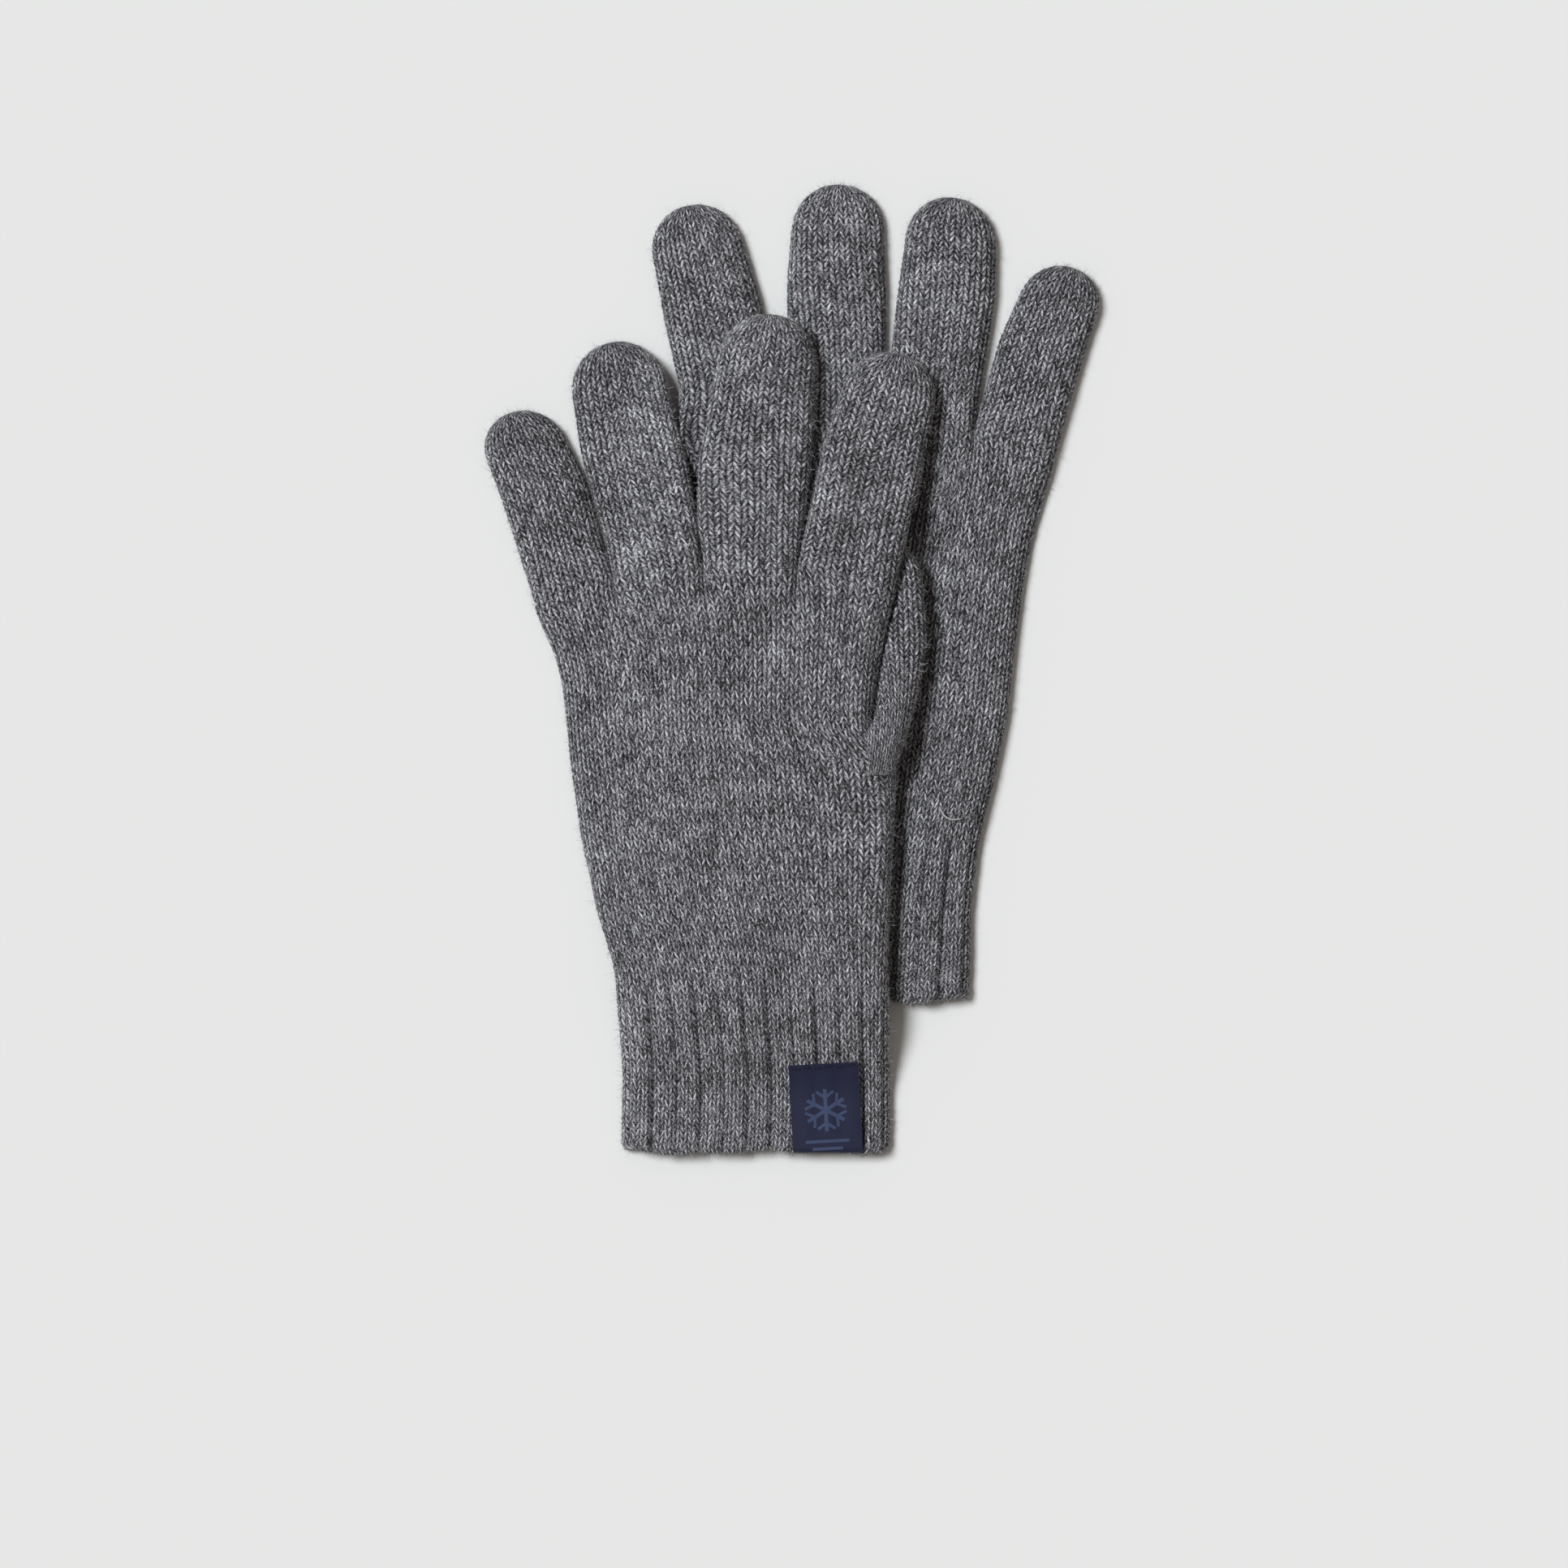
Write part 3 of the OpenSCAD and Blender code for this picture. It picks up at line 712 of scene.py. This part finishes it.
def wool_material(name):
    """Marled yarn: light and dark fibres that follow the legs of each stitch, and painted shade
    between the legs and in the hollows.
    """
    material = bpy.data.materials.new(name)
    material.use_nodes = True
    tree, add, calc = node_maker(material)
    stitches = add("UVMap")
    stitches.uv_map = "stitches"
    split = add("SeparateXYZ", Vector=stitches.outputs[0])
    wale, course = split.outputs[0], split.outputs[1]
    leg = calc("ABSOLUTE", calc("SUBTRACT", calc("MULTIPLY", calc("FRACT", wale), 2.0), 1.0))
    along = calc("MULTIPLY_ADD", leg, -SLANT, course)
    across_leg = calc("SINE", calc("MULTIPLY", calc("FRACT", along), math.pi))
    across_half = calc("SINE", calc("MULTIPLY", leg, math.pi))
    # the yarn's profile across each leg, used for the bump and for the painted shade where the
    # legs meet
    yarn = calc("MULTIPLY", calc("POWER", calc("ABSOLUTE", across_leg), 0.5),
                calc("POWER", calc("ABSOLUTE", across_half), 0.4))
    number = calc("FLOOR", calc("MULTIPLY", wale, 2.0))
    fibre_at = add("CombineXYZ", X=calc("MULTIPLY", along, 4.4), Y=calc("MULTIPLY", leg, 1.7),
                   Z=calc("MULTIPLY", number, 3.7))
    fibre = add("TexNoise", Vector=fibre_at.outputs[0], Scale=1.0, Detail=3.0, Roughness=0.7)
    strand_at = add("CombineXYZ", X=calc("MULTIPLY", along, 1.1), Y=calc("MULTIPLY", leg, 0.7),
                    Z=calc("MULTIPLY", number, 5.3))
    strand = add("TexNoise", Vector=strand_at.outputs[0], Scale=1.0, Detail=1.0, Roughness=0.5)
    speck_at = add("CombineXYZ", X=calc("MULTIPLY", wale, 4.6), Y=calc("MULTIPLY", course, 3.1),
                   Z=0.0)
    speck = add("TexNoise", Vector=speck_at.outputs[0], Scale=1.0, Detail=3.0, Roughness=0.7)
    cloud_at = add("CombineXYZ", X=calc("MULTIPLY", wale, 0.16), Y=calc("MULTIPLY", course, 0.12),
                   Z=0.0)
    cloud = add("TexNoise", Vector=cloud_at.outputs[0], Scale=1.0, Detail=2.0, Roughness=0.6)
    height = add("Attribute")
    height.attribute_name = "relief"
    shade = calc("MULTIPLY_ADD", fibre.outputs[0], 1.05, -1.28)
    shade = calc("MULTIPLY_ADD", strand.outputs[0], 0.60, shade)
    shade = calc("MULTIPLY_ADD", speck.outputs[0], 1.15, shade)
    shade = calc("MULTIPLY_ADD", cloud.outputs[0], 0.16, shade)
    # painted shade: the yarn is drawn darker towards the edges of each leg, where the legs meet
    # and the stitches part
    shade = calc("MULTIPLY_ADD", yarn, 0.26, shade)
    # painted shade: the hollows of the relief, between the legs and in the cuff's furrows, are
    # drawn darker; the same attribute carries the cuff's painted light
    shade = calc("MULTIPLY_ADD", height.outputs["Fac"], 0.22, shade)
    ramp = add("ValToRGB", Fac=shade)
    stops = [(0.18, 0.008), (0.36, 0.042), (0.52, 0.155), (0.68, 0.385), (0.85, 0.70)]
    ramp.color_ramp.elements.remove(ramp.color_ramp.elements[1])
    for k, (at, value) in enumerate(stops):
        e = ramp.color_ramp.elements[0] if k == 0 else ramp.color_ramp.elements.new(at)
        e.position = at
        e.color = (value * 0.98, value * 1.01, value * 1.13, 1)
    bumps = calc("MULTIPLY_ADD", yarn, 0.9, calc("MULTIPLY", fibre.outputs[0], 0.6))
    bump = add("Bump", Strength=0.7, Distance=0.0004, Height=bumps)
    surface(add, tree, ramp.outputs[0], bump.outputs[0], sheen=0.08)
    return material


def plain_material(name, color, roughness=0.9, sheen=0.0):
    material = bpy.data.materials.new(name)
    material.use_nodes = True
    tree, add, _ = node_maker(material)
    surface(add, tree, (*color, 1), sheen=sheen, roughness=roughness)
    return material


def twill_material():
    """Navy ribbon with fine diagonal ribs, by its own coordinates in millimetres."""
    material = bpy.data.materials.new("twill")
    material.use_nodes = True
    tree, add, calc = node_maker(material)
    at = add("UVMap")
    at.uv_map = "ribbon"
    split = add("SeparateXYZ", Vector=at.outputs[0])
    diagonal = calc("ADD", split.outputs[0], calc("MULTIPLY", split.outputs[1], 0.8))
    wave = calc("MULTIPLY_ADD", calc("SINE", calc("MULTIPLY", diagonal, 2 * math.pi / 0.75)),
                0.5, 0.5)
    noise = add("TexNoise", Vector=at.outputs[0], Scale=3.0, Detail=3.0, Roughness=0.7)
    shade = calc("MULTIPLY_ADD", wave, 0.35, calc("MULTIPLY", noise.outputs[0], 0.6))
    ramp = add("ValToRGB", Fac=shade)
    ramp.color_ramp.elements[0].position = 0.15
    ramp.color_ramp.elements[0].color = (0.004, 0.005, 0.015, 1)
    ramp.color_ramp.elements[1].position = 0.85
    ramp.color_ramp.elements[1].color = (0.027, 0.032, 0.081, 1)
    bump = add("Bump", Strength=0.4, Distance=0.0002, Height=wave)
    surface(add, tree, ramp.outputs[0], bump.outputs[0], sheen=0.05, roughness=0.65)
    return material


WOOL = wool_material("wool")
FUZZ = plain_material("fuzz", (0.33, 0.335, 0.35), sheen=0.2)
PALE_YARN = plain_material("pale_yarn", (0.46, 0.46, 0.45), sheen=0.2)
TWILL = twill_material()
PRINT = plain_material("print", (0.042, 0.060, 0.125), 0.7)
THREAD = plain_material("thread", (0.012, 0.014, 0.026), 0.8)

# ---- the gloves ----

for side in ("left", "right"):
    knit(side + "_hand_knit", side, hand_grid(side))
    knit(side + "_cuff_knit", side, cuff_grid(side), ribbed=True)
    knit(side + "_thumb_knit", side, thumb_grid(side), over_thumb=False, closed_end=True)
    for i, finger in enumerate(FINGERS):
        knit(f"{side}_{finger}_knit", side, finger_grid(side, i), closed_end=True)


def attach(obj, side, node):
    """The hand rides on its body. Every other part has its transform baked into its points; the
    start and end of a short length beside the hand are found but not used.
    """
    hand = side + "_hand"
    if node == hand:
        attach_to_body(obj, hand)
        return
    if node.endswith("cuff"):
        start, end = (0, CUFF), (0, CUFF - 16)
    elif node.endswith("thumb"):
        start, end = (THUMB_ROOT[0], 112), (THUMB_ROOT[0], 130)
    else:
        i = FINGERS.index(node[len(side) + 1:])
        a, b = ROOTS[side][i], ROOTS[side][i + 1]
        start = (a + b) / 2
        end = start + 16 * np.array([a[1] - b[1], b[0] - a[0]]) / np.linalg.norm(b - a)
    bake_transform(obj)


for piece, normal in zip(PIECES, shared_normals(PIECES)):
    node = piece["name"][:-5]
    for obj in (build_piece(piece, normal, WOOL), make_fuzz(piece, normal)):
        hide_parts(node)
        attach(obj, piece["side"], node)

# ---- label: a ribbon folded over the hem, with a raised snowflake and two bars ----

LABEL_AT = (23.4, 0.9)      # middle of its lower edge, in the left glove's plan
LABEL_TURN = 3.2            # degrees
LABEL_W, LABEL_H, LABEL_BACK_H, RIBBON_T = 20.6, 27.4, 20.0, 0.5
FOLD_SLANT = (1.7, 0.5)     # how far up the fold is at the ribbon's left and right edges
LABEL_TOP = 8.75            # height of its front above the table
FOLD_R = 1.5
PRINT_W, PRINT_Y = 12.5, 13.6
STITCHES = 6


def label_point(x, y, z):
    """Label's own plan, measured from the middle of its lower edge, to the pair's frame."""
    turn = math.radians(LABEL_TURN)
    px = PLACE["left"][0] + LABEL_AT[0] + x * math.cos(turn) - y * math.sin(turn)
    py = PLACE["left"][1] + LABEL_AT[1] + x * math.sin(turn) + y * math.cos(turn)
    return np.stack(np.broadcast_arrays(px, py, z), -1)


def front_height(x, y):
    """The front flap lies on the ribs: it waves a little, and its top corners lift."""
    at = label_point(x, y, 0)
    under = cover(at[..., 0], at[..., 1])
    wave = 0.12 * np.sin(x * 0.9 + 0.5) * smooth((y - 3) / 6)
    corner = 0.35 * smooth((np.abs(x) - 7) / 4) * smooth((y - 20) / 8)
    return LABEL_TOP + under + wave + corner - 0.25 * (x / (LABEL_W / 2)) ** 2


def ribbon_path():
    """The ribbon's middle line from its front top edge round the hem to its end inside."""
    turn = np.linspace(0, math.pi, 13)[1:-1]
    y = np.concatenate([np.linspace(LABEL_H, FOLD_R, 40), FOLD_R * (1 - np.sin(turn)),
                        np.linspace(FOLD_R, LABEL_BACK_H, 20)])
    drop = np.concatenate([np.zeros(40), FOLD_R * (1 - np.cos(turn)), np.full(20, 2 * FOLD_R)])
    return y, drop


def make_ribbon():
    """The folded ribbon, with both faces and a rim, and the length it was cut to."""
    y, drop = (a[:, None] for a in ribbon_path())
    x = np.linspace(-LABEL_W / 2, LABEL_W / 2, 33)[None, :]
    slant = mix(*FOLD_SLANT, x / LABEL_W + 0.5) * (1 - smooth(y / 14))
    z = front_height(x, y + slant) - drop
    middle = label_point(x, y + slant, z)
    normal = np.cross(np.gradient(middle, axis=1), np.gradient(middle, axis=0))
    normal /= -np.linalg.norm(normal, axis=-1, keepdims=True)
    rows, cols = z.shape
    sides = [middle + normal * RIBBON_T / 2, middle - normal * RIBBON_T / 2]
    points = np.concatenate([s.reshape(-1, 3) for s in sides])
    k = np.arange(rows * cols).reshape(rows, cols)
    front = np.stack([k[:-1, :-1], k[:-1, 1:], k[1:, 1:], k[1:, :-1]], -1).reshape(-1, 4)
    border = np.concatenate([k[0, :-1], k[:-1, -1], k[-1, :0:-1], k[:0:-1, 0]])
    ahead = np.roll(border, -1)
    rim = np.stack([border, border + rows * cols, ahead + rows * cols, ahead], -1)
    faces = np.concatenate([front[:, ::-1], front + rows * cols, rim[:, ::-1]])
    ribbon = make_object("label_ribbon_folded", points, faces, TWILL)
    uv = ribbon.data.uv_layers.new(name="ribbon")
    length = np.cumsum(np.concatenate([[0], np.hypot(np.diff(y[:, 0]), np.diff(drop[:, 0]))]))
    flat = np.stack(np.broadcast_arrays(x, length[:, None]), -1).reshape(-1, 2)
    corner = np.zeros(len(ribbon.data.loops), int)
    ribbon.data.loops.foreach_get("vertex_index", corner)
    uv.data.foreach_set("uv", flat[corner % (rows * cols)].ravel())
    return ribbon, length[-1]


def bars(name, quads, thick, material):
    """Small raised bars on the label's front. Each is its four corners in the label's plan."""
    points, faces = [], []
    for quad in quads:
        start = len(points)
        for above in (RIBBON_T / 2 - 0.05, RIBBON_T / 2 + thick):
            for x, y in quad:
                points.append(label_point(x, y, front_height(x, y) + above))
        a, b, c, d, e, f, g, h = range(start, start + 8)
        faces += [(d, c, b, a), (e, f, g, h),
                  (a, b, f, e), (b, c, g, f), (c, d, h, g), (d, a, e, h)]
    return make_object(name, points, faces, material)


def bar(x, y, length, width, turn):
    """Corners of a bar from its middle, size and angle, cut in steps to follow the flap."""
    c, s = math.cos(math.radians(turn)), math.sin(math.radians(turn))
    steps = max(1, round(length / 1.5))
    quads = []
    for k in range(steps):
        a = length * (k / steps - 0.5)
        b = length * ((k + 1) / steps - 0.5)
        half = width / 2
        quads.append([(x + u * c - v * s, y + u * s + v * c)
                      for u, v in ((a, -half), (b, -half), (b, half), (a, half))])
    return quads


def make_print():
    """A six-armed snowflake with two twigs on each arm, and two bars below it."""
    quads = []
    for turn in (30, 90, 150):
        quads += bar(0, PRINT_Y, PRINT_W, 1.1, turn)
    for turn in range(30, 360, 60):
        c, s = math.cos(math.radians(turn)), math.sin(math.radians(turn))
        for side_turn in (-55, 55):
            heading = math.radians(turn + side_turn)
            x = PRINT_W * 0.30 * c + 1.6 * math.cos(heading)
            y = PRINT_Y + PRINT_W * 0.30 * s + 1.6 * math.sin(heading)
            quads += bar(x, y, 3.2, 0.85, turn + side_turn)
    quads += bar(0, 4.4, 13, 0.9, 0) + bar(0, 2.2, 9, 0.9, 0)
    return bars("label_print_raised", quads, 0.03, PRINT)


def make_label_stitches():
    """Hand stitches of uneven length and slant through the top edge of the label."""
    quads = []
    pitch = (LABEL_W - 1) / STITCHES
    for k in range(STITCHES):
        x = (k + 0.5) * pitch - (LABEL_W - 1) / 2
        length, turn = 2.0 + 0.8 * random.random(), 14 * (random.random() - 0.5)
        quads += bar(x, LABEL_H - 1.3 + 0.5 * random.random(), length, 0.45, turn)
    return bars("label_stitches_sewn", quads, 0.22, THREAD)


ribbon, ribbon_length = make_ribbon()
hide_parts("label_ribbon")
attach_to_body(ribbon, "left_cuff")
printed, sewn = make_print(), make_label_stitches()
for piece, node, slot in ((printed, "label_print", "print"), (sewn, "label_stitches", "thread")):
    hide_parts(node)
    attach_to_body(piece, "left_cuff")

# ---- floor and light ----

FLOOR = 3000                # half of the floor's side
corners = [(-FLOOR, -FLOOR, 0), (FLOOR, -FLOOR, 0), (FLOOR, FLOOR, 0), (-FLOOR, FLOOR, 0)]
paper = plain_material("paper", (0.741, 0.772, 0.782), 1.0)
floor = make_object("floor", corners, [(0, 1, 2, 3)], paper)

sun_data = bpy.data.lights.new("sun", "SUN")
sun_data.energy = 3.08
sun_data.angle = math.radians(22)
sun = bpy.data.objects.new("sun", sun_data)
bpy.context.collection.objects.link(sun)
sun.rotation_euler = Vector((-0.58, 0.28, 1.0)).to_track_quat("Z", "Y").to_euler()

world = bpy.data.worlds.new("world")
world.use_nodes = True
sky = world.node_tree.nodes["Background"]
sky.inputs[0].default_value = (1, 0.87, 0.77, 1)
sky.inputs[1].default_value = 0.25
# the backdrop beyond the floor's edge is as pale as the floor, and lights nothing
backdrop = world.node_tree.nodes.new("ShaderNodeBackground")
backdrop.inputs[0].default_value = (0.79, 0.79, 0.79, 1)
seen = world.node_tree.nodes.new("ShaderNodeLightPath")
either = world.node_tree.nodes.new("ShaderNodeMixShader")
world.node_tree.links.new(seen.outputs["Is Camera Ray"], either.inputs[0])
world.node_tree.links.new(sky.outputs[0], either.inputs[1])
world.node_tree.links.new(backdrop.outputs[0], either.inputs[2])
world.node_tree.links.new(either.outputs[0], world.node_tree.nodes["World Output"].inputs[0])
bpy.context.scene.world = world
bpy.context.scene.view_settings.view_transform = "Standard"
